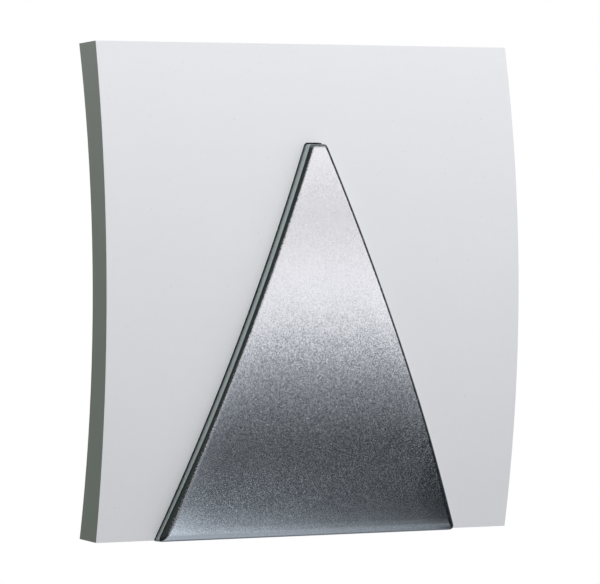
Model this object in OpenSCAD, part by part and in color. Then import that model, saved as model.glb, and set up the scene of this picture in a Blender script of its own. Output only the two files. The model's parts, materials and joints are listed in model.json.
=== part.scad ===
// Wall push button: a square, bowed cover with a raised triangular push panel.
// The panel hinges on a pin behind its apex and presses a lever switch on the base.
// Seen from the front, +X is right and +Z is up. -Y points away from the wall at y = 0.

/* [Cover] */
// Width of the cover across its front edges
cover_w = 150; // [148:0.5:153]
// Height of the cover along its front edges
cover_h = 150; // [149:0.5:151]
// Thickness of the cover's walls
cover_wall = 2.5; // [2.3:0.1:2.6]
// Rise of the bowed front over its top and bottom edges
front_rise = 6.9; // [6.5:0.1:7.2]
// Rise of the arched rear edges
rear_rise = 8.5; // [7:0.1:9]
// Depth of the side walls at the top and bottom
edge_depth = 10.5; // [10:0.1:11]
// Draft of the side walls, in degrees
side_draft = 3.4; // [2:0.1:4]
// Gap between the wall and the cover's top and bottom edges
stand_off = 8; // [8:0.1:8.5]

/* [Push panel] */
// Height of the panel's apex above the centre
apex_top = 44.4; // [43:0.1:44.4]
// Height of the panel's lower edge, measured from the centre
panel_bottom = -75.4; // [-75.8:0.1:-75.2]
// Width of the flat apex
apex_w = 5.7; // [5:0.1:6]
// Width of the panel's lower edge
panel_w = 108.7; // [107:0.1:109]
// Height of the panel's face over the cover
panel_proud = 3.6; // [3:0.1:4]
// Thickness of the panel's skin
panel_skin = 2; // [1.6:0.1:2]
// Thickness of the panel's skirt
skirt_wall = 1.8; // [1.5:0.1:1.8]
// Gap between the panel and the cover
panel_gap = 0.45; // [0.4:0.05:0.6]

/* [Base] */
// Width and height of the base housing
base_w = 120; // [119:0.5:121]
// Thickness of the base's walls and floor
base_wall = 2.5; // [2.3:0.1:2.6]
// Thickness of the gasket on the wall
gasket_t = 1.5; // [1.5:0.1:1.6]
// Thickness of the strip seal between base and cover
seal_t = 1.2; // [1.2:0.05:1.3]
// Spacing of the wall screws, both ways
wall_screw_spacing = 96; // [94:1:98]
// Radius of the wall screw holes
wall_screw_r = 2.4; // [2:0.1:2.6]
// Radius of the cable's hole through the grommet
cable_r = 3.5; // [3:0.1:3.8]

/* [Hinge] */
// Height of the hinge pin above the centre
hinge_z = 50; // [49.8:0.1:50.2]
// Distance of the hinge pin from the wall
hinge_depth = 12; // [11.9:0.1:12.1]
// Radius of the hinge pin
pin_r = 1.5; // [1.4:0.05:1.55]
// Running clearance round the hinge pin
pin_clearance = 0.05; // [0.03:0.01:0.08]

/* [Return springs] */
// Distance of each spring from the middle
spring_x = 30; // [29:0.5:31]
// Height of the springs, measured from the centre
spring_z = -45; // [-46:0.5:-44]
// Mean radius of the coils
spring_r = 3.6; // [3.5:0.1:3.8]
// Diameter of the spring wire
spring_wire = 0.6; // [0.5:0.05:0.7]
// Number of turns, with a closed one at each end
spring_turns = 8; // [6:1:9]

/* [Switch] */
// Length of the switch
switch_l = 19.8; // [19.7:0.1:19.9]
// Thickness of the switch
switch_t = 6.4; // [6.3:0.1:6.4]
// Height of the switch, measured from the centre
switch_z = -20; // [-20.2:0.1:-19.8]

/* [Hidden] */
$fn = 48;

// A curved surface wide enough for the whole cover
bow_fn = 256;
reach = 40;
// Fit of a part in its hole, how far a cut runs past a face, and how far a post is rooted in a wall
slack = 0.02;
over = 1;
root = 1;

function arc_radius(chord, rise) = (chord * chord / 4 + rise * rise) / (2 * rise);

// The cover's front edges, crown and bow, and its rear edges
front_edge_y = -(stand_off + edge_depth);
crown_y = front_edge_y - front_rise;
bow_radius = arc_radius(cover_h, front_rise);
bow_centre = crown_y + bow_radius;
rear_h = cover_h - 2 * edge_depth * tan(side_draft);
rear_radius = arc_radius(rear_h, rear_rise);
rear_centre = rear_radius - stand_off - rear_rise;

// Layers behind the cover's front, as depths from it
rim_depth = cover_wall + seal_t;
carrier_t = 2.4;
carrier_back = rim_depth + carrier_t;
skin_back = panel_skin - panel_proud;
lip_depth = 1.9;

// The panel's outline
side_slope = (panel_w - apex_w) / 2 / (apex_top - panel_bottom);
skirt_end = -71.5;
carrier_margin = 5.5;
flange_end = -55;
apex_corner = 1.1;
corner_steps = 8;

// The base's floor and rim
floor_back = -gasket_t;
floor_y = floor_back - base_wall;
base_corner = 6;
rim_notch_y = -11.5;
rim_notch_w = 103;
cover_notch_y = -13.2;
gasket_clearance = 0.4;

// Cover fixings: hooks at the top, countersunk screws from below
hook_x = 30;
hook_w = 9;
hook_y = [-13.2, -11.2];
hook_z = [58, 66];
ledge_w = 13;
ledge_y = [-10.8, -9];
ledge_z = [62, 73];
cover_screw_x = 58.5;
cover_screw_y = -13.2;
cover_screw_z = -74.4;
cover_screw_r = 1.45;
cover_screw_len = 13;
cover_screw_head_r = 2.8;
cover_hole_z = [-73, -60];
cover_boss_r = 3.6;
cover_boss_gap = 0.2;
cover_boss_z = [-71.85, -54];

// Hinge: ears on the base, knuckles on the carrier, flanged bushes between them
hinge_y = -hinge_depth;
knuckle_x = [21, 27];
knuckle_r = 3.8;
knuckle_front = -17.5;
knuckle_plate_h = 12;
bush_r = 2.4;
bush_flange_r = 3.4;
bush_flange_t = 0.8;
ear_x = [28.1, 32.1];
ear_r = 4;
clip_t = 0.6;
clip_r = 3;
clip_groove_r = 1.15;
clip_slot = 1.8;
clip_gap = 0.15;
pin_len = 68;

// Spring seats and travel stops
spring_post_r = 2.7;
spring_post_h = 3;
spring_gap = 0.03;
seat_y = -15.6;
seat_front = -18;
seat_post_h = 2.4;
seat_r = 5.2;
stop_x = 15;
stop_z = -50;
stop_post_y = -11;
stop_y = -13;
stop_r = 3.5;
stop_stem_r = 1.5;
stop_stem_len = 3.5;
stop_post_wall = 0.7;

// Screws that join carrier and panel
carrier_screw_places = [[0, 24], [-22, -30], [22, -30], [-34, -66], [34, -66]];
carrier_screw_r = 1.3;
carrier_screw_len = 6.5;
carrier_screw_sink = 0.5;
panel_boss_r = 2.8;
rim_gap = 0.15;
rim_t = 1.5;
rib_heights = [0, -42, -57];
rib_t = 1.5;
rest_pad_heights = [-10, -50];
rest_pad_r = 2;
rest_pad_out = 3;
rest_gap = 0.15;

// Cable entry and drain holes
cable_z = 24;
grommet_r = 5.2;
grommet_lip = 2.2;
grommet_lip_t = [1.5, 1.2];
drain_x = 20;
drain_rise = 2.5;
drain_r = 1.5;

// Switch: case, plunger, lever and contacts
switch_back = floor_y - 1;
switch_depth = 10.2;
switch_front = switch_back - switch_depth;
switch_wall = 0.9;
switch_bottom = switch_z - switch_t / 2;
switch_top = switch_z + switch_t / 2;
switch_hole_x = 4.75;
switch_hole_y = -7.4;
switch_hole_r = 1.05;
switch_screw_r = 0.9;
switch_boss_r = 1.6;
lug_t = 0.8;
bracket_t = 3;
bracket_x = 11;
bracket_y = -13;
lever_x = -9;
lever_y = -15.9;
lever_pin_r = 0.5;
lever_t = 0.3;
lever_w = 2.8;
lever_gap = 0.15;
lever_play = 0.05;
lever_len = 17;
lever_rest_angle = 6.37;
actuator_x = 6;
actuator_r = 1;
actuator_tip_y = -17.48;
actuator_nut_r = 2.3;
actuator_nut_t = 1;
actuator_nut_sink = 0.15;
plunger_x = -3;
plunger_r = 1;
plunger_tip_y = -15.93;
plunger_dome = 0.25;
blade_y = -11.6;
blade_t = 0.25;
contact_x = -7;
contact_r = 0.9;
contact_gap = 0.08;
leaf_t = 0.5;
terminal_x = 7.7;
terminal_w = 2.4;
terminal_y = switch_back - switch_wall;
terminal_tip = -29.6;

// Terminal block and wiring
block_x = [25.5, 44.5];
block_z = [1, 14];
block_y = -13.5;
block_mid_z = (block_z[0] + block_z[1]) / 2;
pole_x = [31, 39];
pole_mid_x = (pole_x[0] + pole_x[1]) / 2;
clamp_size = [5, 6.3, 6.8];
wire_y = -8;
wire_r = 0.75;
block_screw_r = 1;
block_screw_drop = 3;
clamp_gap = 0.1;
clamp_screw_r = 1.25;
clamp_screw_head = [1.8, 1.8];
crimp_end = -34.5;
crimp_sleeve_r = 1.1;

common_route = [
    [7.7, -6.2, -33], [7.7, -6.2, -34.6], [7.7, -6.2, -36.2], [12, -6, -39.5], [18, -6, -38],
    [21, -6, -30], [22, -6, -15], [26, -7, -6], [31, -8, -3], [31, -8, 5]
];
open_route = [
    [-7.7, -6.2, -33], [-7.7, -6.2, -34.6], [-7.7, -6.2, -36.5], [-4, -6, -41], [4, -6, -43],
    [16, -6, -43], [23, -6, -37], [25, -6, -25], [27, -6, -14], [36, -7, -7], [39, -8, -3], [39, -8, 5]
];

// ---------- Shared shapes ----------

// Depth of a surface that follows the cover's front, at height z
function bow_y(depth, z) = bow_centre - sqrt(pow(bow_radius - depth, 2) - z * z);

// Half-width of the triangle at height z, with its sides moved outwards by grow
function half_width(z, grow = 0) =
    apex_w / 2 + side_slope * (apex_top - z) + grow * sqrt(1 + side_slope * side_slope);

// Half of a drafted width at depth y, moved inwards by inset
function drafted(width, y, inset) =
    width / 2 - inset - (y - front_edge_y) * tan(side_draft);

// A box given by its lower and upper limits along each axis
module block(x, y, z) {
    translate([x[0], y[0], z[0]])
        cube([x[1] - x[0], y[1] - y[0], z[1] - z[0]]);
}

// A cylinder along Y between two depths
module rod_y(x, z, y, r, facets = 48) {
    translate([x, y[1], z])
        rotate([90, 0, 0])
            cylinder(r = r, h = y[1] - y[0], $fn = facets);
}

// A cylinder along X
module rod_x(x, y, z, r) {
    translate([x[0], y, z])
        rotate([0, 90, 0])
            cylinder(r = r, h = x[1] - x[0]);
}

// A cylinder along Z
module rod_z(x, y, z, r) {
    translate([x, y, z[0]])
        cylinder(r = r, h = z[1] - z[0]);
}

// Gives its children on both sides of the middle
module both_sides() {
    children();
    mirror([1, 0, 0])
        children();
}

// Everything behind a surface that follows the cover's front
module behind_bow(depth, width = cover_w + 10) {
    translate([0, bow_centre, 0])
        rotate([0, 90, 0])
            cylinder(r = bow_radius - depth, h = width, center = true, $fn = bow_fn);
}

// The part of its children between two surfaces that follow the cover's front
module bowed_layer(outer, inner) {
    difference() {
        intersection() {
            behind_bow(outer);
            children();
        }
        behind_bow(inner, cover_w + 20);
    }
}

// Extrudes an outline drawn in X and Z between two depths
module through(y_front = -reach, y_back = 0) {
    translate([0, y_back, 0])
        rotate([90, 0, 0])
            linear_extrude(y_back - y_front)
                children();
}

// The triangular outline between two heights, with its sides moved outwards by grow
module triangle(grow, top, bottom) {
    polygon([
        [-half_width(top, grow), top],
        [half_width(top, grow), top],
        [half_width(bottom, grow), bottom],
        [-half_width(bottom, grow), bottom]
    ]);
}

module rounded_square(width, corner) {
    square([width, width - 2 * corner], center = true);
    square([width - 2 * corner, width], center = true);
    for (x = [-1, 1], z = [-1, 1])
        translate([x * (width / 2 - corner), z * (width / 2 - corner)])
            circle(r = corner);
}

// A screw along +Z with its head below z = 0, a cross recess and a plain shank
module pan_screw(shank_r, length, head_r, head_h) {
    difference() {
        union() {
            cylinder(r = shank_r, h = length);
            translate([0, 0, -head_h])
                cylinder(r1 = head_r * 0.75, r2 = head_r, h = head_h);
        }
        cross_recess(head_r, -head_h);
    }
}

// The same with a conical head, flat at z = 0
module countersunk_screw(shank_r, length, head_r, head_h) {
    difference() {
        union() {
            cylinder(r = shank_r, h = length);
            cylinder(r1 = head_r, r2 = shank_r, h = head_h);
        }
        cross_recess(head_r, 0);
    }
}

module cross_recess(head_r, top) {
    arm = head_r * 1.1;
    for (turn = [0, 90])
        translate([0, 0, top])
            rotate(turn)
                cube([arm, head_r * 0.24, head_r * 0.7], center = true);
}

// Points along a smooth curve through the route's points
function curve_point(a, b, c, d, t) =
    0.5 * (2 * b + (c - a) * t + (2 * a - 5 * b + 4 * c - d) * t * t
        + (3 * b - a - 3 * c + d) * t * t * t);

function smooth(route, steps) =
    let (last = len(route) - 1)
    concat(
        [for (i = [0 : last - 1], s = [0 : steps - 1])
            curve_point(route[max(i - 1, 0)], route[i], route[i + 1],
                route[min(i + 2, last)], s / steps)],
        [route[last]]
    );

function unit(v) = v / norm(v);

// Ring of points round p, in the plane of the two directions
function ring(p, along, across, r, sides) =
    [for (k = [0 : sides - 1])
        p + r * (cos(360 * k / sides) * along + sin(360 * k / sides) * across)];

// Closed tube over a list of rings of equal size
module tube(rings) {
    sides = len(rings[0]);
    last = len(rings) - 1;
    points = [for (row = rings, p = row) p];
    walls = [for (i = [0 : last - 1], k = [0 : sides - 1])
        let (a = i * sides, n = (k + 1) % sides)
        [a + k, a + n, a + sides + n, a + sides + k]];
    start = [[for (k = [sides - 1 : -1 : 0]) k]];
    end = [[for (k = [0 : sides - 1]) last * sides + k]];
    polyhedron(points, concat(walls, start, end));
}

// Insulated wire of round section along a smooth route
module wire(route, steps = 5, sides = 12) {
    path = smooth(route, steps);
    last = len(path) - 1;
    tube([for (i = [0 : last])
        let (
            tangent = unit(path[min(i + 1, last)] - path[max(i - 1, 0)]),
            side = unit(cross(tangent, [0, 1, 0])),
            up = cross(side, tangent)
        )
        ring(path[i], side, up, wire_r, sides)]);
}

// ---------- Housing ----------

module wall_gasket() {
    color("dimgray")
        difference() {
            through(floor_back, 0)
                rounded_square(base_w, base_corner);
            for (x = [-0.5, 0.5], z = [-0.5, 0.5])
                rod_y(x * wall_screw_spacing, z * wall_screw_spacing, [floor_back - over, over],
                    wall_screw_r + 2 * gasket_clearance);
            rod_y(0, cable_z, [floor_back - over, over], grommet_r + grommet_lip + gasket_clearance);
        }
}

// The gap in the base's rim where the panel passes over it
module rim_notch(y) {
    block([-rim_notch_w / 2, rim_notch_w / 2], y, [-base_w / 2 - over, -base_w / 2 + base_wall + over]);
}

module base_tray() {
    difference() {
        intersection() {
            behind_bow(rim_depth);
            through(-reach, floor_back)
                rounded_square(base_w, base_corner);
        }
        through(-reach, floor_y)
            rounded_square(base_w - 2 * base_wall, base_corner - base_wall);
        rim_notch([-reach, rim_notch_y]);
    }
}

module hinge_ear() {
    rod_x(ear_x, hinge_y, hinge_z, ear_r);
    block(ear_x, [hinge_y, floor_y + root], [hinge_z - ear_r, hinge_z + ear_r]);
}

module switch_bracket() {
    block([-bracket_x, bracket_x], [bracket_y, floor_y + root], [switch_top, switch_top + bracket_t]);
    block([-switch_l / 2, switch_l / 2], [switch_back, floor_y + root], [switch_bottom, switch_top]);
}

// Boss for a cover screw, flattened just behind the cover's front
module cover_boss() {
    intersection() {
        behind_bow(cover_wall + cover_boss_gap);
        rod_z(cover_screw_x, cover_screw_y, cover_boss_z, cover_boss_r);
    }
}

module base_housing() {
    color("gainsboro")
        difference() {
            union() {
                base_tray();
                switch_bracket();
                both_sides() {
                    hinge_ear();
                    rod_y(spring_x, spring_z, [floor_y - spring_post_h, floor_y + root], spring_post_r);
                    rod_y(stop_x, stop_z, [stop_post_y, floor_y + root], stop_r + stop_post_wall);
                    cover_boss();
                    block([hook_x - hook_w / 2, hook_x + hook_w / 2], hook_y, hook_z);
                }
            }
            both_sides() {
                rod_x([ear_x[0] - over, ear_x[1] + over], hinge_y, hinge_z, pin_r + slack);
                rod_y(stop_x, stop_z, [stop_post_y - over, stop_post_y + stop_stem_len + 0.5],
                    stop_stem_r + slack);
                rod_z(cover_screw_x, cover_screw_y, cover_hole_z, cover_screw_r + slack);
                rod_z(drain_x, floor_y - drain_rise,
                    [-base_w / 2 - over, -base_w / 2 + base_wall + over], drain_r);
                rod_z(switch_hole_x, switch_hole_y, [switch_top - over, switch_top + bracket_t + over],
                    switch_screw_r + slack);
            }
            for (x = [-0.5, 0.5], z = [-0.5, 0.5])
                rod_y(x * wall_screw_spacing, z * wall_screw_spacing,
                    [floor_y - over, floor_back + over], wall_screw_r);
            rod_y(0, cable_z, [floor_y - over, floor_back + over], grommet_r);
            rod_y(pole_mid_x, block_mid_z, [floor_y - over, floor_y + 2.1], block_screw_r + slack);
        }
}

module cable_grommet() {
    front = floor_y - grommet_lip_t[0];
    back = floor_back + grommet_lip_t[1];
    color("black")
        difference() {
            union() {
                rod_y(0, cable_z, [front, back], grommet_r - slack);
                rod_y(0, cable_z, [front, floor_y], grommet_r + grommet_lip);
                rod_y(0, cable_z, [floor_back, back], grommet_r + grommet_lip);
            }
            rod_y(0, cable_z, [front - over, over], cable_r);
        }
}

module cover_seal() {
    color("black")
        bowed_layer(cover_wall, rim_depth)
            difference() {
                through()
                    rounded_square(base_w, base_corner);
                through(-reach - over, over)
                    rounded_square(base_w - 2 * base_wall, base_corner - base_wall);
                rim_notch([-reach - over, over]);
            }
}

// The cover's four drafted sides, moved inwards by inset
module drafted_sides(inset, y_back) {
    intersection() {
        linear_extrude(cover_h + 20, center = true)
            polygon([
                [-drafted(cover_w, -reach, inset), -reach],
                [drafted(cover_w, -reach, inset), -reach],
                [drafted(cover_w, y_back, inset), y_back],
                [-drafted(cover_w, y_back, inset), y_back]
            ]);
        rotate([90, 0, 90])
            linear_extrude(cover_w + 20, center = true)
                polygon([
                    [-reach, -drafted(cover_h, -reach, inset)],
                    [y_back, -drafted(cover_h, y_back, inset)],
                    [y_back, drafted(cover_h, y_back, inset)],
                    [-reach, drafted(cover_h, -reach, inset)]
                ]);
    }
}

module cover_shell() {
    difference() {
        intersection() {
            behind_bow(0);
            drafted_sides(0, 2);
        }
        intersection() {
            behind_bow(cover_wall);
            drafted_sides(cover_wall, 3);
        }
    }
}

module front_cover() {
    color("whitesmoke")
        difference() {
            union() {
                cover_shell();
                both_sides()
                    block([hook_x - ledge_w / 2, hook_x + ledge_w / 2], ledge_y, ledge_z);
            }
            // arched rear edges
            translate([0, rear_centre, 0])
                rotate([0, 90, 0])
                    cylinder(r = rear_radius, h = cover_w + 20, center = true, $fn = bow_fn);
            // opening for the panel, cut through the lower edge
            through(-reach, cover_notch_y)
                panel_outline(panel_gap, -cover_h);
            both_sides()
                translate([cover_screw_x, cover_screw_y, cover_screw_z]) {
                    cylinder(r = cover_screw_r + 0.25, h = 4);
                    cylinder(r1 = cover_screw_head_r + 0.05, r2 = cover_screw_r, h = 1.5);
                    translate([0, 0, -2])
                        cylinder(r = cover_screw_head_r + 0.05, h = 2);
                }
        }
}

module cover_screws() {
    color("silver")
        both_sides()
            translate([cover_screw_x, cover_screw_y, cover_screw_z])
                countersunk_screw(cover_screw_r, cover_screw_len, cover_screw_head_r, 1.4);
}

module hinge_pin() {
    color("silver")
        difference() {
            rod_x([-pin_len / 2, pin_len / 2], hinge_y, hinge_z, pin_r);
            both_sides()
                difference() {
                    rod_x([ear_x[1] + clip_gap - 0.05, ear_x[1] + clip_gap + 0.05 + clip_t],
                        hinge_y, hinge_z, pin_r + over);
                    rod_x([ear_x[1], ear_x[1] + 1], hinge_y, hinge_z, clip_groove_r);
                }
        }
}

module hinge_pin_clips() {
    color("dimgray")
        both_sides()
            difference() {
                rod_x([ear_x[1] + clip_gap, ear_x[1] + clip_gap + clip_t], hinge_y, hinge_z, clip_r);
                rod_x([ear_x[1], ear_x[1] + 2], hinge_y, hinge_z, clip_groove_r + slack);
                block([ear_x[1], ear_x[1] + 2], [hinge_y - clip_slot / 2, hinge_y + clip_slot / 2],
                    [hinge_z, hinge_z + clip_r + over]);
            }
}

module down_stop_bumpers() {
    color("black")
        both_sides() {
            rod_y(stop_x, stop_z, [stop_y, stop_post_y], stop_r);
            rod_y(stop_x, stop_z, [stop_post_y, stop_post_y + stop_stem_len], stop_stem_r);
        }
}

// ---------- Switch ----------

module switch_case() {
    case_z = [switch_bottom, switch_top - switch_wall];
    inner_x = switch_l / 2 - switch_wall;
    color("darkslategray")
        difference() {
            union() {
                difference() {
                    block([-switch_l / 2, switch_l / 2], [switch_front, switch_back], case_z);
                    block([-inner_x, inner_x], [switch_front + switch_wall, switch_back - switch_wall],
                        [case_z[0] + switch_wall, case_z[1] + over]);
                }
                both_sides()
                    rod_z(switch_hole_x, switch_hole_y, case_z, switch_boss_r);
                // lugs that carry the lever's pin
                for (z = [case_z[0] + 0.3, case_z[1] - lug_t]) {
                    rod_z(lever_x, lever_y, [z, z + lug_t], lug_t);
                    block([lever_x - lug_t, lever_x + lug_t], [lever_y, switch_front + 0.3], [z, z + lug_t]);
                }
            }
            both_sides()
                rod_z(switch_hole_x, switch_hole_y, [switch_bottom - over, switch_top + over],
                    switch_hole_r);
            rod_z(lever_x, lever_y, [switch_bottom - over, switch_top + over], lever_pin_r + slack);
            // groove that clears the lever's eye
            rod_z(lever_x, lever_y, [switch_z - lever_w / 2 - 0.1, switch_z + lever_w / 2 + 0.1], 0.95);
            rod_y(plunger_x, switch_z, [switch_front - over, switch_front + switch_wall + 0.5],
                plunger_r + 0.05);
            for (x = [-terminal_x, 0, terminal_x])
                block([x - terminal_w / 2 - slack, x + terminal_w / 2 + slack],
                    [terminal_y - leaf_t - slack, terminal_y + slack],
                    [switch_bottom - over, switch_bottom + switch_wall + 0.5]);
        }
}

module switch_lid() {
    color("slategray")
        difference() {
            block([-switch_l / 2, switch_l / 2], [switch_front, switch_back],
                [switch_top - switch_wall, switch_top]);
            both_sides()
                rod_z(switch_hole_x, switch_hole_y, [switch_top - switch_wall - over, switch_top + over],
                    switch_hole_r);
        }
}

module switch_screws() {
    color("silver")
        both_sides()
            translate([switch_hole_x, switch_hole_y, switch_bottom])
                pan_screw(switch_screw_r, switch_t + bracket_t - 0.3, 1.8, 1.1);
}

module lever_pin() {
    color("silver")
        rod_z(lever_x, lever_y, [switch_bottom + 0.3, switch_top - switch_wall], lever_pin_r);
}

// The blade of a terminal that leaves the case at the bottom
module terminal_foot(x, inner_end) {
    block([x - terminal_w / 2, x + terminal_w / 2], [terminal_y - leaf_t, terminal_y],
        [terminal_tip, inner_end]);
}

module common_terminal() {
    riser_x = terminal_x + terminal_w / 2;
    seat_top = blade_y + blade_t / 2 + contact_gap;
    color("goldenrod")
        union() {
            terminal_foot(terminal_x, switch_z + 2);
            block([riser_x - leaf_t, riser_x], [seat_top, terminal_y], [switch_z - 1.4, switch_z + 1.4]);
            block([riser_x - 1.2, riser_x], [seat_top, seat_top + leaf_t], [switch_z - 1.4, switch_z + 1.4]);
        }
}

module normally_open_terminal() {
    riser_x = -terminal_x - terminal_w / 2;
    pad_top = -9.8;
    color("goldenrod")
        union() {
            terminal_foot(-terminal_x, switch_z + 2);
            block([riser_x, riser_x + leaf_t], [pad_top, terminal_y], [switch_z - 1.2, switch_z + 1.2]);
            block([riser_x, contact_x + 0.9], [pad_top, pad_top + leaf_t], [switch_z - 1.2, switch_z + 1.2]);
            rod_y(contact_x, switch_z, [pad_top - 0.33, pad_top + 0.1], contact_r);
        }
}

module normally_closed_terminal() {
    arm_y = [-12.9, -12.4];
    arm_z = [switch_z - 2.2, switch_z - 1.25];
    color("goldenrod")
        union() {
            terminal_foot(0, arm_z[1]);
            block([0.2, 1.2], [arm_y[0], terminal_y], arm_z);
            block([contact_x - 1.4, 1.2], arm_y, arm_z);
            block([contact_x - 1.4, contact_x + 1.4], arm_y, [arm_z[0], switch_z + 1.2]);
            rod_y(contact_x, switch_z, [arm_y[1] - 0.1, arm_y[1] + 0.27], contact_r);
        }
}

// Strip with a rolled eye. It lies along the case when pressed and rises from it at rest.
module switch_lever() {
    strip_y = switch_front - lever_gap;
    eye_r = lever_pin_r + lever_play + lever_t;
    color("silver")
        translate([lever_x, lever_y, switch_z])
            rotate(-lever_rest_angle)
                translate([-lever_x, -lever_y, -switch_z])
                    difference() {
                        union() {
                            rod_z(lever_x, lever_y, [switch_z - lever_w / 2, switch_z + lever_w / 2], eye_r);
                            block([lever_x, lever_x + lever_len], [strip_y - lever_t, strip_y],
                                [switch_z - lever_w / 2, switch_z + lever_w / 2]);
                        }
                        rod_z(lever_x, lever_y, [switch_z - lever_w, switch_z + lever_w],
                            lever_pin_r + lever_play);
                    }
}

module switch_plunger() {
    inside_y = switch_front + switch_wall;
    color("tomato")
        union() {
            translate([plunger_x, plunger_tip_y, switch_z])
                rotate([-90, 0, 0])
                    cylinder(r1 = plunger_r / 2, r2 = plunger_r, h = plunger_dome);
            rod_y(plunger_x, switch_z, [plunger_tip_y + plunger_dome, inside_y + 0.2], plunger_r);
            rod_y(plunger_x, switch_z, [inside_y + 0.1, inside_y + 0.6], plunger_r + 0.2);
            rod_y(plunger_x, switch_z, [inside_y + 0.5, blade_y - blade_t / 2 - contact_gap], 0.6);
        }
}

module contact_blade() {
    color("goldenrod")
        union() {
            block([contact_x - 1, 8.2], [blade_y - blade_t / 2, blade_y + blade_t / 2],
                [switch_z - 1, switch_z + 1]);
            rod_y(contact_x, switch_z, [blade_y - 0.5, blade_y + 0.5], contact_r);
        }
}

// ---------- Wiring ----------

module terminal_block() {
    color("ivory")
        difference() {
            block(block_x, [block_y, floor_y], block_z);
            for (x = pole_x) {
                translate([x - clamp_size[0] / 2 - clamp_gap, floor_y - clamp_size[1] - 2 * clamp_gap,
                        block_mid_z - clamp_size[2] / 2 - clamp_gap])
                    cube([clamp_size[0] + 2 * clamp_gap, clamp_size[1] + over,
                        clamp_size[2] + 2 * clamp_gap]);
                rod_y(x, block_mid_z, [block_y - over, floor_y - 2], clamp_screw_head[0] + 0.2);
                rod_z(x, wire_y, [block_z[0] - over, block_z[1] + over], 1.6);
            }
            rod_y(pole_mid_x, block_mid_z, [block_y - over, floor_y + over], block_screw_r + 0.15);
            rod_y(pole_mid_x, block_mid_z, [block_y - over, block_y + block_screw_drop], 1.9);
            // notch between the poles on each side
            for (z = block_z)
                rod_y(pole_mid_x, z, [block_y - over, floor_y + over], 1.2);
        }
}

module terminal_clamps() {
    color("goldenrod")
        for (x = pole_x)
            difference() {
                translate([x - clamp_size[0] / 2, floor_y - clamp_size[1] - clamp_gap,
                        block_mid_z - clamp_size[2] / 2])
                    cube(clamp_size);
                rod_z(x, wire_y, block_z, 1.2);
                rod_y(x, block_mid_z, [block_y, wire_y], clamp_screw_r + slack);
            }
}

module terminal_screws() {
    color("silver")
        for (x = pole_x)
            translate([x, block_y + 0.6, block_mid_z])
                rotate([-90, 0, 0])
                    difference() {
                        union() {
                            cylinder(r = clamp_screw_head[0], h = clamp_screw_head[1]);
                            cylinder(r = clamp_screw_r, h = 3.6);
                        }
                        cube([4, 0.6, 1.4], center = true);
                    }
}

module terminal_block_screw() {
    color("silver")
        translate([pole_mid_x, block_y + block_screw_drop, block_mid_z])
            rotate([-90, 0, 0])
                pan_screw(block_screw_r, floor_y - block_y - 1.2, 1.8, 1.2);
}

module wire_crimps() {
    sleeve_y = terminal_y - leaf_t / 2 - 0.05;
    color("silver")
        for (x = [-terminal_x, terminal_x])
            difference() {
                union() {
                    block([x - 1.8, x + 1.8], [terminal_y - 1.1, terminal_y + 0.6],
                        [crimp_end + 2.5, terminal_tip + 4.6]);
                    rod_z(x, sleeve_y, [crimp_end, crimp_end + 3], crimp_sleeve_r);
                }
                block([x - terminal_w / 2 - slack, x + terminal_w / 2 + slack],
                    [terminal_y - leaf_t - slack, terminal_y + slack],
                    [terminal_tip - 0.5, terminal_tip + 5]);
                rod_z(x, sleeve_y, [crimp_end - over, crimp_end + 2], wire_r + 0.1);
            }
}

module wire_common() {
    color("saddlebrown")
        wire(common_route);
}

module wire_normally_open() {
    color("royalblue")
        wire(open_route);
}

// ---------- Panel ----------

// The panel's outline with rounded apex corners, moved outwards by grow
module panel_outline(grow = 0, bottom = panel_bottom) {
    corner = apex_corner + grow;
    corner_z = apex_top - apex_corner;
    corner_x = half_width(corner_z, -apex_corner);
    lean = atan(side_slope);
    arc = [for (i = [0 : corner_steps])
        let (angle = lean + (90 - lean) * i / corner_steps)
        [corner_x + corner * cos(angle), corner_z + corner * sin(angle)]];
    polygon(concat(
        [[-half_width(bottom, grow), bottom], [half_width(bottom, grow), bottom]],
        arc,
        [for (i = [corner_steps : -1 : 0]) [-arc[i][0], arc[i][1]]]
    ));
}

module push_panel() {
    color("silver")
        difference() {
            union() {
                difference() {
                    intersection() {
                        behind_bow(-panel_proud);
                        through()
                            panel_outline();
                    }
                    intersection() {
                        behind_bow(skin_back);
                        through(-reach, over)
                            triangle(-skirt_wall, apex_top - skirt_wall, panel_bottom + skirt_wall);
                    }
                }
                for (place = carrier_screw_places)
                    bowed_layer(skin_back - 0.5, rim_depth)
                        rod_y(place[0], place[1], [-reach, 0], panel_boss_r);
            }
            behind_bow(rim_depth, cover_w + 20);
            // the lower lip is shallow, so that it clears the cover when pressed
            intersection() {
                behind_bow(lip_depth, cover_w + 20);
                block([-cover_w / 2, cover_w / 2], [-reach, over], [panel_bottom - over, skirt_end]);
            }
            for (place = carrier_screw_places)
                rod_y(place[0], place[1], [bow_y(skin_back, place[1]) + 0.6, 0],
                    carrier_screw_r + slack);
        }
}

module carrier_outline() {
    triangle(carrier_margin, apex_top + carrier_margin, flange_end);
    triangle(0, flange_end + 1, skirt_end);
    translate([-knuckle_x[1], hinge_z - knuckle_plate_h / 2])
        square([2 * knuckle_x[1], knuckle_plate_h]);
}

// Rim that fits inside the panel's skirt, with cross ribs
module carrier_rim() {
    outer = -skirt_wall - rim_gap;
    inner = outer - rim_t;
    bowed_layer(0.6, rim_depth + 0.5)
        difference() {
            through()
                triangle(outer, apex_top + outer, skirt_end);
            difference() {
                through(-reach - over, over)
                    triangle(inner, apex_top + inner, skirt_end + rim_t);
                for (z = rib_heights)
                    block([-cover_w / 2, cover_w / 2], [-reach, over], [z - rib_t / 2, z + rib_t / 2]);
            }
        }
}

module hinge_knuckle() {
    rod_x(knuckle_x, hinge_y, hinge_z, knuckle_r);
    block(knuckle_x, [knuckle_front, hinge_y], [hinge_z - knuckle_r, hinge_z + knuckle_r]);
}

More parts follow.
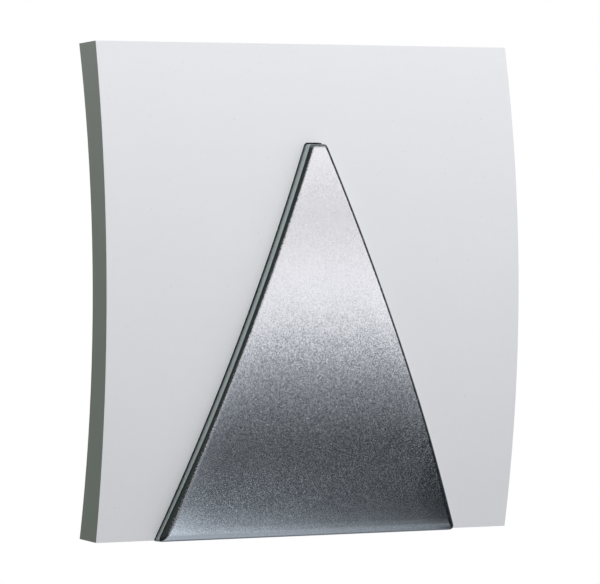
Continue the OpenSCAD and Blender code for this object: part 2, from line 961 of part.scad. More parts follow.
module panel_carrier() {
    color("dimgray")
        difference() {
            union() {
                bowed_layer(rim_depth, carrier_back)
                    through()
                        carrier_outline();
                carrier_rim();
                both_sides() {
                    hinge_knuckle();
                    rod_y(spring_x, spring_z, [seat_front, seat_y], seat_r);
                    rod_y(spring_x, spring_z, [seat_front, seat_y + seat_post_h], spring_post_r);
                    rod_y(stop_x, stop_z, [seat_front + 0.2, seat_y], stop_r + 1);
                }
            }
            both_sides()
                rod_x([knuckle_x[0] - over, knuckle_x[1] + over], hinge_y, hinge_z, bush_r + slack);
            for (place = carrier_screw_places) {
                rod_y(place[0], place[1], [-reach, 0], carrier_screw_r + 0.15);
                rod_y(place[0], place[1], [bow_y(carrier_back, place[1]) - carrier_screw_sink, 0], 2.7);
            }
            rod_y(actuator_x, switch_z, [-reach, 0], actuator_r + slack);
            rod_y(actuator_x, switch_z, [bow_y(carrier_back, switch_z) - actuator_nut_sink, 0],
                actuator_nut_r + 0.3);
        }
}

module carrier_screws() {
    color("silver")
        for (place = carrier_screw_places)
            translate([place[0], bow_y(carrier_back, place[1]) - carrier_screw_sink, place[1]])
                rotate([90, 0, 0])
                    pan_screw(carrier_screw_r, carrier_screw_len, 2.4, 1.4);
}

module hinge_bushes() {
    color("ivory")
        both_sides()
            difference() {
                union() {
                    rod_x(knuckle_x, hinge_y, hinge_z, bush_r);
                    rod_x([knuckle_x[1], knuckle_x[1] + bush_flange_t], hinge_y, hinge_z, bush_flange_r);
                }
                rod_x([knuckle_x[0] - over, knuckle_x[1] + bush_flange_t + over], hinge_y, hinge_z,
                    pin_r + pin_clearance);
            }
}

module rest_bumpers() {
    color("black")
        bowed_layer(cover_wall + rest_gap, rim_depth)
            both_sides()
                for (z = rest_pad_heights)
                    rod_y(half_width(z, rest_pad_out), z, [-reach, 0], rest_pad_r);
}

module actuator_screw() {
    head_y = bow_y(rim_depth, switch_z) - 0.2;
    color("silver")
        translate([actuator_x, head_y, switch_z])
            rotate([-90, 0, 0])
                pan_screw(actuator_r, actuator_tip_y - head_y, 1.9, 1.2);
}

module actuator_nut() {
    nut_y = bow_y(carrier_back, switch_z) - actuator_nut_sink;
    nut_back = nut_y + actuator_nut_t;
    color("silver")
        difference() {
            rod_y(actuator_x, switch_z, [nut_y, nut_back], actuator_nut_r, 6);
            rod_y(actuator_x, switch_z, [nut_y - over, nut_back + over], actuator_r + slack);
        }
}

// ---------- Return springs ----------

// Rise along the spring at a number of turns, closed over the first and last turn
function spring_rise(turn, length) =
    let (open_rise = (length - 3 * spring_wire) / (spring_turns - 2))
    turn < 1 ? turn * spring_wire
    : turn > spring_turns - 1 ? length - spring_wire - (spring_turns - turn) * spring_wire
    : spring_wire + (turn - 1) * open_rise;

module return_spring(side) {
    length = floor_y - seat_y - 2 * spring_gap;
    steps = 16;
    color("silver")
        tube([for (i = [0 : spring_turns * steps])
            let (
                angle = 360 * i / steps,
                out = [cos(angle), 0, sin(angle)],
                y = floor_y - spring_gap - spring_wire / 2 - spring_rise(i / steps, length)
            )
            ring([side * spring_x, y, spring_z] + spring_r * out, out, [0, -1, 0],
                spring_wire / 2, 8)]);
}

module left_return_spring() {
    return_spring(-1);
}

module right_return_spring() {
    return_spring(1);
}

wall_gasket();
base_housing();
cable_grommet();
cover_seal();
front_cover();
cover_screws();
hinge_pin();
hinge_pin_clips();
down_stop_bumpers();
switch_case();
switch_lid();
switch_screws();
lever_pin();
common_terminal();
normally_open_terminal();
normally_closed_terminal();
terminal_block();
terminal_clamps();
terminal_screws();
terminal_block_screw();
wire_crimps();
wire_common();
wire_normally_open();
push_panel();
panel_carrier();
carrier_screws();
hinge_bushes();
rest_bumpers();
actuator_screw();
actuator_nut();
switch_lever();
switch_plunger();
contact_blade();
left_return_spring();
right_return_spring();
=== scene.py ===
"""Looks of the wall push button: finer meshes, materials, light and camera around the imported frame.

Everything is in metres, in the frame's own axes: +X right, +Z up, -Y away from the wall.
"""
import json
import math

import bpy
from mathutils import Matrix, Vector


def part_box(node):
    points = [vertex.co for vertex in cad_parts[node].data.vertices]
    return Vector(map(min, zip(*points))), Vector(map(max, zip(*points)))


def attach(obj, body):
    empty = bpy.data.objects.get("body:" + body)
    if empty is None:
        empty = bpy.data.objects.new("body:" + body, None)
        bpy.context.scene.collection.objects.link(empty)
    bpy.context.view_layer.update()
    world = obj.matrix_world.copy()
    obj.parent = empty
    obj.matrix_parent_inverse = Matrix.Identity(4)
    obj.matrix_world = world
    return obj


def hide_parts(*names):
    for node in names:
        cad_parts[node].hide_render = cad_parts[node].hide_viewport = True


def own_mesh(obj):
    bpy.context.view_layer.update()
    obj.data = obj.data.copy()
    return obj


MM = 0.001

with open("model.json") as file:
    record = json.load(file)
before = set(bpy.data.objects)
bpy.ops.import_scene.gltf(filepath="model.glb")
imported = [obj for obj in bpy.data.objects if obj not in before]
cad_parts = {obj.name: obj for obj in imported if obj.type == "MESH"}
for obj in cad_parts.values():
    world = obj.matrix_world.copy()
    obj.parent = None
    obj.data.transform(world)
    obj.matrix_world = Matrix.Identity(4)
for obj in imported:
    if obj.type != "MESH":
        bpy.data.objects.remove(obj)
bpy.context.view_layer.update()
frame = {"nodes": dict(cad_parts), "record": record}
nodes = frame["nodes"]
scene = bpy.context.scene
SLOT_OF = {part["node"]: part["material_slot"] for part in frame["record"]["subparts"]}

# ---------- Sizes that repeat the CAD's ----------

PANEL_LOW, PANEL_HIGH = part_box("push_panel")
CROWN_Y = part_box("front_cover")[0].y    # foremost line of the cover's bow
COVER_H = 150 * MM
FRONT_RISE = 6.9 * MM
BOW_RADIUS = (COVER_H ** 2 / 4 + FRONT_RISE ** 2) / (2 * FRONT_RISE)
BOW_CENTRE = CROWN_Y + BOW_RADIUS
APEX_TOP = PANEL_HIGH.z
PANEL_BOTTOM = PANEL_LOW.z
PANEL_W = PANEL_HIGH.x - PANEL_LOW.x
APEX_W = 5.7 * MM
SIDE_SLOPE = (PANEL_W - APEX_W) / 2 / (APEX_TOP - PANEL_BOTTOM)
PANEL_PROUD = 3.6 * MM
PANEL_SKIN = 2 * MM
CEILING = PANEL_SKIN - PANEL_PROUD
SKIRT_WALL = 1.8 * MM
RIM_DEPTH = 3.7 * MM
LIP_DEPTH = 1.9 * MM
SKIRT_END = -71.5 * MM
BOSSES = [(0, 24), (-22, -30), (22, -30), (-34, -66), (34, -66)]    # x and z in mm
BOSS_R = 2.8 * MM
BOSS_HOLE_R = 1.32 * MM


def bow_y(depth, z):
    """Y of a surface that follows the cover's front, depth behind it, at height z."""
    return BOW_CENTRE - math.sqrt((BOW_RADIUS - depth) ** 2 - z * z)


# ---------- Mesh helpers ----------


def new_object(name, verts, faces, smooth_angle=35):
    """A mesh object that shades smooth where faces meet at less than smooth_angle degrees."""
    mesh = bpy.data.meshes.new(name)
    mesh.from_pydata([tuple(v) for v in verts], [], faces)
    mesh.validate()
    for polygon in mesh.polygons:
        polygon.use_smooth = True
    mesh.set_sharp_from_angle(angle=math.radians(smooth_angle))
    obj = bpy.data.objects.new(name, mesh)
    scene.collection.objects.link(obj)
    return obj


def bridge(a, b):
    """Quads between two closed rings of vertex numbers."""
    count = len(a)
    return [(a[i], a[(i + 1) % count], b[(i + 1) % count], b[i]) for i in range(count)]


def swept_tube(name, points, radius, sides=12):
    """A round tube along a route, with flat closed ends."""
    verts, faces, rings = [], [], []
    across = None
    for i, point in enumerate(points):
        ahead = (points[min(i + 1, len(points) - 1)] - points[max(i - 1, 0)]).normalized()
        if across is None:
            across = ahead.orthogonal().normalized()
        across = (across - ahead * across.dot(ahead)).normalized()
        other = ahead.cross(across)
        first = len(verts)
        for k in range(sides):
            angle = 2 * math.pi * k / sides
            verts.append(point + radius * (math.cos(angle) * across + math.sin(angle) * other))
        rings.append(list(range(first, first + sides)))
    for a, b in zip(rings, rings[1:]):
        faces += bridge(a, b)
    faces.append(tuple(reversed(rings[0])))
    faces.append(tuple(rings[-1]))
    return new_object(name, verts, faces)


# ---------- The push panel ----------

CORNER_ARC = 5      # steps in half of a rounded corner
ROWS = 90           # steps up each side
COLUMNS = 22        # steps along the lower edge and the apex
FILLET_STEPS = 8
CORNER_R = 1.1 * MM
INNER_CORNER_R = 0.12 * MM
INSET_SPAN = 2.4 * MM
ROLL_WIDTH = 13 * MM
ROLL_DEPTH = 0.11 * MM
LOW_ROLL_WIDTH = 4.5 * MM
LOW_ROLL_DEPTH = 0.16 * MM
FULL_ROLL = 50 * MM     # the roll reaches its full depth this far below the apex
FILLET_R = 1.05 * MM
FILLET_GROWTH = 0.75 * MM
FILLET_START = 35 * MM  # the front edge's radius grows from this far below the middle
MARGIN = 0.3 * MM
MARGIN_GROWTH = 0.3 * MM
LOW_END = 75 * MM       # what grows towards the lower edge is at its most this far below the middle
DARK_DEPTH = 0.25 * MM
DARK_GROWTH = 0.35 * MM
DARK_END = 45 * MM      # the painted shade in the gap is at its deepest this far above the middle
DARK_FADE = 0.23 * MM
WALL_FADE = 0.3 * MM
RIGHT_EXTRA = 1.5       # how much more painted dark reflection the right side has than the left
CHAMFER = 0.12 * MM
CEILING_ROUND = 0.4 * MM
BOSS_SINK = 0.2 * MM
BOSS_STEPS = 24
STEP_ROW = 2e-4         # share of a side between a step and the row of points beside it

# Values of the mesh attribute "edge", which places painted reflection and painted shade: up to 1 over the
# rounded edge, then the wall, then the gap
ON_MARGIN = 0.11
ON_WALL = 2.0
IN_GAP = 3.0


def outline(inset, corner_r):
    """The panel's outline moved inwards, with rounded corners, as four sides from the lower left."""
    normals = [(0, -1), (1, SIDE_SLOPE), (0, 1), (-1, SIDE_SLOPE)]
    anchors = [(0, PANEL_BOTTOM), (APEX_W / 2, APEX_TOP), (0, APEX_TOP), (-APEX_W / 2, APEX_TOP)]
    lines = []
    for (nx, nz), (ax, az) in zip(normals, anchors):
        length = math.hypot(nx, nz)
        nx, nz = nx / length, nz / length
        lines.append((nx, nz, nx * ax + nz * az - inset - corner_r))
    centres = []
    for k in range(4):
        (a1, b1, c1), (a2, b2, c2) = lines[k - 1], lines[k]
        det = a1 * b2 - a2 * b1
        centres.append(((c1 * b2 - c2 * b1) / det, (a1 * c2 - a2 * c1) / det))
    angle = [math.atan2(nz, nx) for nx, nz, _ in lines]

    def on_corner(k, share):
        turn = (angle[k] - angle[k - 1]) % (2 * math.pi)
        a = angle[k - 1] + turn * share
        return Vector((centres[k][0] + corner_r * math.cos(a), centres[k][1] + corner_r * math.sin(a)))

    sides = []
    for k in range(4):
        after = (k + 1) % 4
        start = [on_corner(k, 0.5 + 0.5 * i / CORNER_ARC) for i in range(CORNER_ARC + 1)]
        end = [on_corner(after, 0.5 * i / CORNER_ARC) for i in range(CORNER_ARC + 1)]
        if k % 2 == 0:
            shares = [i / COLUMNS for i in range(1, COLUMNS)]
        else:
            # a pair of rows at the step where the skirt becomes a shallow lip
            low, high = sorted((start[-1].y, end[0].y))
            step = (SKIRT_END - low) / (high - low)
            shares = [i / ROWS for i in range(1, ROWS)]
            shares = sorted(shares + [step - STEP_ROW, step + STEP_ROW])
            if k == 3:
                shares = [1 - s for s in reversed(shares)]
        straight = [start[-1].lerp(end[0], s) for s in shares]
        sides.append(start + straight + end)
    return sides


OUTER = outline(0, CORNER_R)
INNER = outline(INSET_SPAN, INNER_CORNER_R)


def sides_at(inset):
    """The four sides, where inset may be a function of the outer point."""
    result = []
    for outer, inner in zip(OUTER, INNER):
        row = []
        for p, q in zip(outer, inner):
            moved = inset(p) if callable(inset) else inset
            row.append(p.lerp(q, moved / INSET_SPAN))
        result.append(row)
    return result


def smoothstep(x, low, high):
    """0 below low, 1 above high, and a smooth rise between them."""
    t = min(max((x - low) / (high - low), 0), 1)
    return t * t * (3 - 2 * t)


def fillet_r(p):
    """Radius of the panel's front edge, which grows towards the lower edge."""
    return FILLET_R + FILLET_GROWTH * smoothstep(-p.y, FILLET_START, LOW_END)


def margin(p):
    """A narrow border of the face, in which the painted dark reflection of its edge fades out."""
    return MARGIN + MARGIN_GROWTH * smoothstep(-p.y, 0, LOW_END)


def edge_shares():
    """Share of the painted dark reflection at each outline point: none on the lower edge, most on the
    right.
    """
    ring = [p for side in OUTER for p in side[:-1]]
    shares = []
    for i in range(len(ring)):
        along = (ring[(i + 1) % len(ring)] - ring[i - 1]).normalized()
        on_right = smoothstep(along.y, 0.2, 0.6)
        shares.append(smoothstep(-along.x, -0.95, -0.5) * (1 + RIGHT_EXTRA * on_right))
    return shares


EDGE_SHARE = edge_shares()


def face_depth(p):
    """The face rolls off very slightly near its sides and its lower edge."""
    side = APEX_W / 2 + SIDE_SLOPE * (APEX_TOP - p.y) - abs(p.x)
    low = p.y - PANEL_BOTTOM
    fall = max(1 - side / ROLL_WIDTH, 0) ** 3 + max(1 - low / ROLL_WIDTH, 0) ** 3
    low_fall = max(1 - low / LOW_ROLL_WIDTH, 0) ** 3 * LOW_ROLL_DEPTH
    fall = min(fall, 1) * ROLL_DEPTH * smoothstep(APEX_TOP - p.y, 0, FULL_ROLL)
    return -PANEL_PROUD + fall + low_fall


def dark_depth(p):
    """Where the painted shade in the gap round the panel starts: deeper near the apex."""
    return DARK_DEPTH + DARK_GROWTH * smoothstep(p.y, 0, DARK_END)


def back_depth(p):
    """Depth at which the skirt ends: less along the lower edge, which clears the cover when pressed."""
    return RIM_DEPTH if p.y >= SKIRT_END else LIP_DEPTH


def panel_mesh():
    """The panel as one closed shell, with its screw bosses."""
    verts, faces = [], []
    edge = []

    def put(p, depth, edge_value=0.0):
        """A point at p, depth behind the cover's front. Returns its number."""
        verts.append(Vector((p.x, bow_y(depth, p.y), p.y)))
        edge.append(edge_value)
        return len(verts) - 1

    def add_ring(inset, depth, edge_value=0.0):
        """A ring of points on the outline moved in by inset, each with its share of the edge value."""
        points = [p for side in sides_at(inset) for p in side[:-1]]
        most = max(edge_value, 1)
        return [put(p, depth(p), min(edge_value * share, most)) for p, share in zip(points, EDGE_SHARE)]

    def fill(inset, depth, front):
        """A grid over the outline, by transfinite interpolation. Returns its border as a ring."""
        bottom, right, top, left = sides_at(inset)
        top, left = top[::-1], left[::-1]
        across, up = len(bottom) - 1, len(right) - 1
        grid = []
        for j in range(up + 1):
            v = (left[j].y - left[0].y) / (left[-1].y - left[0].y)
            row = []
            for i in range(across + 1):
                u_low = (bottom[i].x - bottom[0].x) / (bottom[-1].x - bottom[0].x)
                u_high = (top[i].x - top[0].x) / (top[-1].x - top[0].x)
                u = u_low * (1 - v) + u_high * v
                p = ((1 - v) * bottom[i] + v * top[i] + (1 - u) * left[j] + u * right[j]
                     - (1 - u) * (1 - v) * bottom[0] - u * (1 - v) * bottom[-1]
                     - (1 - u) * v * top[0] - u * v * top[-1])
                row.append(put(p, depth(p)))
            grid.append(row)
        for low, high in zip(grid, grid[1:]):
            for i in range(across):
                quad = (low[i], low[i + 1], high[i + 1], high[i])
                faces.append(quad if front else quad[::-1])
        return (grid[0][:-1] + [row[-1] for row in grid[:-1]]
                + grid[-1][:0:-1] + [row[0] for row in grid[:0:-1]])

    rings = [fill(lambda p: fillet_r(p) + margin(p), face_depth, True)]
    # The rings over the rounded edge carry the painted dark reflection
    rings.append(add_ring(fillet_r, face_depth, ON_MARGIN))
    for k in range(1, FILLET_STEPS + 1):
        a = math.pi / 2 * k / FILLET_STEPS
        rings.append(add_ring(lambda p: fillet_r(p) * (1 - math.sin(a)),
                              lambda p: face_depth(p) + fillet_r(p) * (1 - math.cos(a)),
                              k / FILLET_STEPS))
    # These rings carry painted shade on the wall and, deeper down, in the gap
    rings.append(add_ring(0, lambda p: fillet_r(p) - PANEL_PROUD + WALL_FADE, ON_WALL))
    rings.append(add_ring(0, lambda p: dark_depth(p) - DARK_FADE, ON_WALL))
    rings.append(add_ring(0, dark_depth, IN_GAP))
    rings.append(add_ring(0, lambda p: back_depth(p) - CHAMFER, IN_GAP))
    rings.append(add_ring(CHAMFER, back_depth, IN_GAP))
    rings.append(add_ring(SKIRT_WALL - CHAMFER, back_depth, IN_GAP))
    rings.append(add_ring(SKIRT_WALL, lambda p: back_depth(p) - CHAMFER))
    rings.append(add_ring(SKIRT_WALL, lambda p: CEILING + CEILING_ROUND))
    rings.append(add_ring(SKIRT_WALL + CHAMFER, lambda p: CEILING + CHAMFER))
    rings.append(fill(SKIRT_WALL + CEILING_ROUND, lambda p: CEILING, False))
    for a, b in zip(rings, rings[1:]):
        faces.extend(bridge(b, a))
    for x, z in BOSSES:
        loops = []
        for radius, front in ((BOSS_R, True), (BOSS_R, False), (BOSS_HOLE_R, False), (BOSS_HOLE_R, True)):
            loop = []
            for k in range(BOSS_STEPS):
                a = 2 * math.pi * k / BOSS_STEPS
                p = Vector((x * MM + radius * math.cos(a), z * MM + radius * math.sin(a)))
                loop.append(put(p, CEILING - BOSS_SINK if front else RIM_DEPTH))
            loops.append(loop)
        for k in range(4):
            faces.extend(bridge(loops[k], loops[(k + 1) % 4]))
    obj = new_object("push_panel_shell", verts, faces, 40)
    layer = obj.data.attributes.new("edge", "FLOAT", "POINT")
    layer.data.foreach_set("value", edge)
    return obj


# ---------- Materials ----------


class Nodes:
    """Builds a node tree with short calls."""

    def __init__(self, tree):
        self.tree = tree
        tree.nodes.clear()

    def add(self, kind, **settings):
        """A new node with the given settings."""
        made = self.tree.nodes.new(kind)
        for key, value in settings.items():
            setattr(made, key, value)
        return made

    def link(self, source, target):
        self.tree.links.new(source, target)

    def feed(self, socket, value):
        """Links a socket to another, or sets it to a number or a colour."""
        if isinstance(value, bpy.types.NodeSocket):
            self.link(value, socket)
        else:
            socket.default_value = value

    def math(self, operation, a, b=0.0):
        """The result of a sum or of another operation on one or two values."""
        made = self.add("ShaderNodeMath", operation=operation)
        self.feed(made.inputs[0], a)
        self.feed(made.inputs[1], b)
        return made.outputs[0]

    def ramp(self, value, low, high, to_low=0.0, to_high=1.0, kind="SMOOTHSTEP"):
        """Goes from to_low to to_high while value goes from low to high, and stays level beyond."""
        made = self.add("ShaderNodeMapRange", interpolation_type=kind, clamp=True)
        for socket, item in zip(made.inputs, (value, low, high, to_low, to_high)):
            self.feed(socket, item)
        return made.outputs[0]

    def mix_colour(self, share, a, b, blend="MIX"):
        """a where share is 0, b blended over it where it is 1."""
        made = self.add("ShaderNodeMix", data_type="RGBA", blend_type=blend)
        self.feed(made.inputs[0], share)
        self.feed(made.inputs[6], a)
        self.feed(made.inputs[7], b)
        return made.outputs[2]

    def noise(self, vector, size, detail=3.0, roughness=0.55):
        """Noise whose features are about size metres across."""
        made = self.add("ShaderNodeTexNoise")
        self.feed(made.inputs["Vector"], vector)
        made.inputs["Scale"].default_value = 1 / size
        made.inputs["Detail"].default_value = detail
        made.inputs["Roughness"].default_value = roughness
        return made.outputs["Fac"]

    def cells(self, vector, size):
        """Distance to the nearest of random points about size metres apart."""
        made = self.add("ShaderNodeTexVoronoi", feature="F1")
        self.feed(made.inputs["Vector"], vector)
        made.inputs["Scale"].default_value = 1 / size
        return made.outputs["Distance"]

    def flakes(self, vector, size, tilt):
        """Blasted dimples: a normal that tilts at random and a random number for each."""
        made = self.add("ShaderNodeTexVoronoi", feature="F1")
        self.feed(made.inputs["Vector"], vector)
        made.inputs["Scale"].default_value = 1 / size
        centred = self.add("ShaderNodeVectorMath", operation="SUBTRACT")
        self.link(made.outputs["Color"], centred.inputs[0])
        centred.inputs[1].default_value = (0.5, 0.5, 0.5)
        scaled = self.add("ShaderNodeVectorMath", operation="SCALE")
        self.link(centred.outputs[0], scaled.inputs[0])
        self.feed(scaled.inputs["Scale"], tilt)
        added = self.add("ShaderNodeVectorMath", operation="ADD")
        self.link(self.add("ShaderNodeNewGeometry").outputs["Normal"], added.inputs[0])
        self.link(scaled.outputs[0], added.inputs[1])
        unit = self.add("ShaderNodeVectorMath", operation="NORMALIZE")
        self.link(added.outputs[0], unit.inputs[0])
        parts = self.add("ShaderNodeSeparateColor")
        self.link(made.outputs["Color"], parts.inputs[0])
        return unit.outputs[0], parts.outputs[0]

    def bump(self, height, depth, normal=None):
        """A bump of the given real depth in metres."""
        made = self.add("ShaderNodeBump")
        made.inputs["Strength"].default_value = 1.0
        made.inputs["Distance"].default_value = depth
        self.feed(made.inputs["Height"], height)
        if normal is not None:
            self.link(normal, made.inputs["Normal"])
        return made.outputs["Normal"]


def grey(value):
    """A neutral colour."""
    return (value, value, value, 1)


def tint(colour, factor):
    """A colour made lighter or darker."""
    return tuple(min(c * factor, 1) for c in colour[:3]) + (1,)


CLOUD_SIZE = 22 * MM
MOTTLE_SIZE = 2.2 * MM
SPECK_SIZE = 0.9 * MM
SPECK_GREY = 0.32
CLOUD_RELIEF = 0.03 * MM
PIT_SHARE = 0.6


def material(name, colour, rough, metallic=0.0, grain=0.3 * MM, grain_depth=0.006 * MM,
             rough_spread=0.06, shade_spread=0.04, stretch=(1, 1, 1), specular=0.5, dust=0.0):
    """A procedural material: fine grain bump, cloudy colour and roughness, specks of dust."""
    mat = bpy.data.materials.new(name)
    mat.use_nodes = True
    n = Nodes(mat.node_tree)
    out = n.add("ShaderNodeOutputMaterial")
    shader = n.add("ShaderNodeBsdfPrincipled")
    n.link(shader.outputs[0], out.inputs[0])
    place = n.add("ShaderNodeTexCoord").outputs["Object"]
    if tuple(stretch) != (1, 1, 1):
        mapping = n.add("ShaderNodeMapping")
        mapping.inputs["Scale"].default_value = stretch
        n.link(place, mapping.inputs["Vector"])
        place = mapping.outputs[0]
    cloud = n.noise(place, CLOUD_SIZE, 4)
    mottle = n.noise(place, MOTTLE_SIZE, 3)
    fine = n.noise(place, grain, 2)
    pits = n.cells(place, grain * 1.7)
    shade = n.math("ADD", n.math("MULTIPLY", cloud, 0.6), n.math("MULTIPLY", mottle, 0.4))
    share = n.ramp(shade, 0.3, 0.7)
    base = n.mix_colour(share, tint(colour, 1 - shade_spread), tint(colour, 1 + shade_spread))
    if dust:
        specks = n.ramp(n.noise(place, SPECK_SIZE, 2), 0.70, 0.80, 0, dust)
        base = n.mix_colour(specks, base, grey(SPECK_GREY))
    n.link(base, shader.inputs["Base Color"])
    level = n.math("ADD", n.math("MULTIPLY", mottle, 0.5), n.math("MULTIPLY", cloud, 0.5))
    n.link(n.ramp(level, 0.3, 0.7, rough - rough_spread, rough + rough_spread, "LINEAR"),
           shader.inputs["Roughness"])
    relief = n.math("ADD", fine, n.math("MULTIPLY", pits, PIT_SHARE))
    soft = n.bump(cloud, CLOUD_RELIEF)
    n.link(n.bump(relief, grain_depth, soft), shader.inputs["Normal"])
    shader.inputs["Metallic"].default_value = metallic
    shader.inputs["Specular IOR Level"].default_value = specular
    return mat, n, shader


def simple(name, colour, rough, **more):
    """A material from three colour values."""
    return material(name, tuple(colour) + (1,), rough, **more)[0]


# The panel's finish: its grain, the size and tilt of its blasted dimples, its colours with painted
# reflection and painted shade, and its roughness
PANEL_GRAIN = 0.3 * MM
PANEL_GRAIN_DEPTH = 0.003 * MM
PANEL_CLOUD = 25 * MM
FLAKE_SIZE = 0.22 * MM
FLAKE_TILT = 0.058
LOW_EDGE_TILT_LOSS = 0.044
LOW_EDGE_SMOOTHING = 0.75
LOW_EDGE_Z = (-54 * MM, -74 * MM)       # the grain fades out towards the lower edge
TIP_Z = (APEX_TOP - 1.4 * MM, APEX_TOP - 0.5 * MM)
SILVER_LOW = (0.75, 0.755, 0.777, 1)
SILVER_HIGH = (0.777, 0.782, 0.80, 1)
# Painted reflection: a dark band on the rounded edge, less dark at the apex tip
PAINTED_EDGE_REFLECTION = (0.03, 0.037, 0.037, 1)
PAINTED_TIP_REFLECTION = (0.15, 0.17, 0.165, 1)
# Painted shade: the side wall's grey-green over the silver
PAINTED_WALL_SHADE = (0.50, 0.56, 0.545, 1)
# Painted shade in the gap round the panel
PAINTED_GAP_SHADE = (0.10, 0.115, 0.115, 1)
EDGE_FADE = (0.04, 0.26)                # values of "edge" over which the painted dark reflection comes in
WALL_START = (1.0, 1.3)
GAP_START = (2.2, 2.8)
PANEL_ROUGHNESS = (0.11, 0.125)
SPARKLE_ROUGHNESS = 0.155
SPARKLE_POWER = 2.6
WALL_ROUGHNESS = 0.38


def panel_material():
    """Blasted silver with a fine grain, a painted dark reflection round its edges, painted shade on its
    wall and in the gap, and smooth along its lower edge.
    """
    mat = bpy.data.materials.new("panel_silver_blasted")
    mat.use_nodes = True
    n = Nodes(mat.node_tree)
    out = n.add("ShaderNodeOutputMaterial")
    shader = n.add("ShaderNodeBsdfPrincipled")
    n.link(shader.outputs[0], out.inputs[0])
    place = n.add("ShaderNodeTexCoord").outputs["Object"]
    parts = n.add("ShaderNodeSeparateXYZ")
    n.link(place, parts.inputs[0])
    z = parts.outputs[2]
    edge = n.add("ShaderNodeAttribute", attribute_name="edge").outputs["Fac"]
    fine = n.noise(place, PANEL_GRAIN, 2, 0.6)
    cloud = n.noise(place, PANEL_CLOUD, 3)
    low_edge = n.ramp(z, *LOW_EDGE_Z)
    tilt = n.math("SUBTRACT", FLAKE_TILT, n.math("MULTIPLY", low_edge, LOW_EDGE_TILT_LOSS))
    tilted, chance = n.flakes(place, FLAKE_SIZE, tilt)
    wall = n.ramp(edge, *WALL_START)
    base = n.mix_colour(n.ramp(fine, 0.35, 0.65), SILVER_LOW, SILVER_HIGH)
    # Painted dark reflection on the rounded edge, ragged along the grain and less dark at the apex tip
    ragged = n.math("MULTIPLY", edge, n.ramp(fine, 0.3, 0.7, 0.4, 1.6, "LINEAR"))
    dark = n.mix_colour(n.ramp(z, *TIP_Z), PAINTED_EDGE_REFLECTION, PAINTED_TIP_REFLECTION)
    base = n.mix_colour(n.ramp(ragged, *EDGE_FADE), base, dark)
    # Painted shade on the side wall
    base = n.mix_colour(wall, base, PAINTED_WALL_SHADE)
    # Painted shade where the wall goes down into the gap
    base = n.mix_colour(n.ramp(edge, *GAP_START), base, PAINTED_GAP_SHADE)
    n.link(base, shader.inputs["Base Color"])
    rough = n.ramp(cloud, 0.3, 0.7, *PANEL_ROUGHNESS, "LINEAR")
    sparkle = n.math("MULTIPLY", n.math("POWER", chance, SPARKLE_POWER), SPARKLE_ROUGHNESS)
    smooth = n.math("MAXIMUM", wall, n.math("MULTIPLY", low_edge, LOW_EDGE_SMOOTHING))
    rough = n.math("ADD", rough, n.math("MULTIPLY", sparkle, n.math("SUBTRACT", 1.0, smooth)))
    rough = n.math("ADD", rough, n.math("MULTIPLY", wall, WALL_ROUGHNESS))
    n.link(rough, shader.inputs["Roughness"])
    n.link(n.bump(fine, PANEL_GRAIN_DEPTH, tilted), shader.inputs["Normal"])
    shader.inputs["Metallic"].default_value = 1.0
    return mat


LOOKS = {
    "cover_white": simple("cover_white_moulded", (0.80, 0.805, 0.825), 0.5, grain=0.3 * MM,
                          grain_depth=0.0035 * MM, rough_spread=0.05, shade_spread=0.008, dust=0.35),
    "base_grey": simple("base_grey_moulded", (0.50, 0.51, 0.51), 0.55, grain=0.4 * MM,
                        grain_depth=0.008 * MM, shade_spread=0.04, dust=0.5),
    "panel_silver": panel_material(),
    "carrier_black": simple("carrier_black_moulded", (0.035, 0.036, 0.038), 0.5,
                            grain=0.35 * MM, grain_depth=0.008 * MM, shade_spread=0.12),
    "rubber_black": simple("rubber_black_matt", (0.028, 0.028, 0.029), 0.8, grain=0.25 * MM,
                           grain_depth=0.012 * MM, shade_spread=0.2, specular=0.3, dust=0.4),
    "zinc_steel": simple("zinc_steel_plated", (0.66, 0.665, 0.65), 0.3, metallic=1.0,
                         grain=0.12 * MM, grain_depth=0.003 * MM, shade_spread=0.08,
                         stretch=(1, 1, 4)),
    "spring_steel": simple("spring_steel_drawn", (0.56, 0.56, 0.565), 0.28, metallic=1.0,
                           grain=0.08 * MM, grain_depth=0.002 * MM, shade_spread=0.08),
    "switch_dark": simple("switch_dark_moulded", (0.05, 0.055, 0.062), 0.42, grain=0.3 * MM,
                          grain_depth=0.005 * MM, shade_spread=0.1),
    "plunger_red": simple("plunger_red_moulded", (0.42, 0.045, 0.03), 0.4, grain=0.2 * MM,
                          grain_depth=0.003 * MM, shade_spread=0.08),
    "contact_brass": simple("contact_brass_stamped", (0.78, 0.57, 0.26), 0.3, metallic=1.0,
                            grain=0.1 * MM, grain_depth=0.002 * MM, shade_spread=0.1,
                            stretch=(1, 3, 1)),
    "block_ivory": simple("block_ivory_moulded", (0.74, 0.71, 0.60), 0.45, grain=0.3 * MM,
                          grain_depth=0.005 * MM, shade_spread=0.04),
    "bush_natural": simple("bush_natural_acetal", (0.78, 0.78, 0.74), 0.4, grain=0.25 * MM,
                           grain_depth=0.004 * MM, shade_spread=0.04),
    "wire_brown": simple("wire_brown_insulation", (0.16, 0.065, 0.03), 0.45, grain=0.2 * MM,
                         grain_depth=0.004 * MM, shade_spread=0.1),
    "wire_blue": simple("wire_blue_insulation", (0.03, 0.10, 0.36), 0.45, grain=0.2 * MM,
                        grain_depth=0.004 * MM, shade_spread=0.1),
}


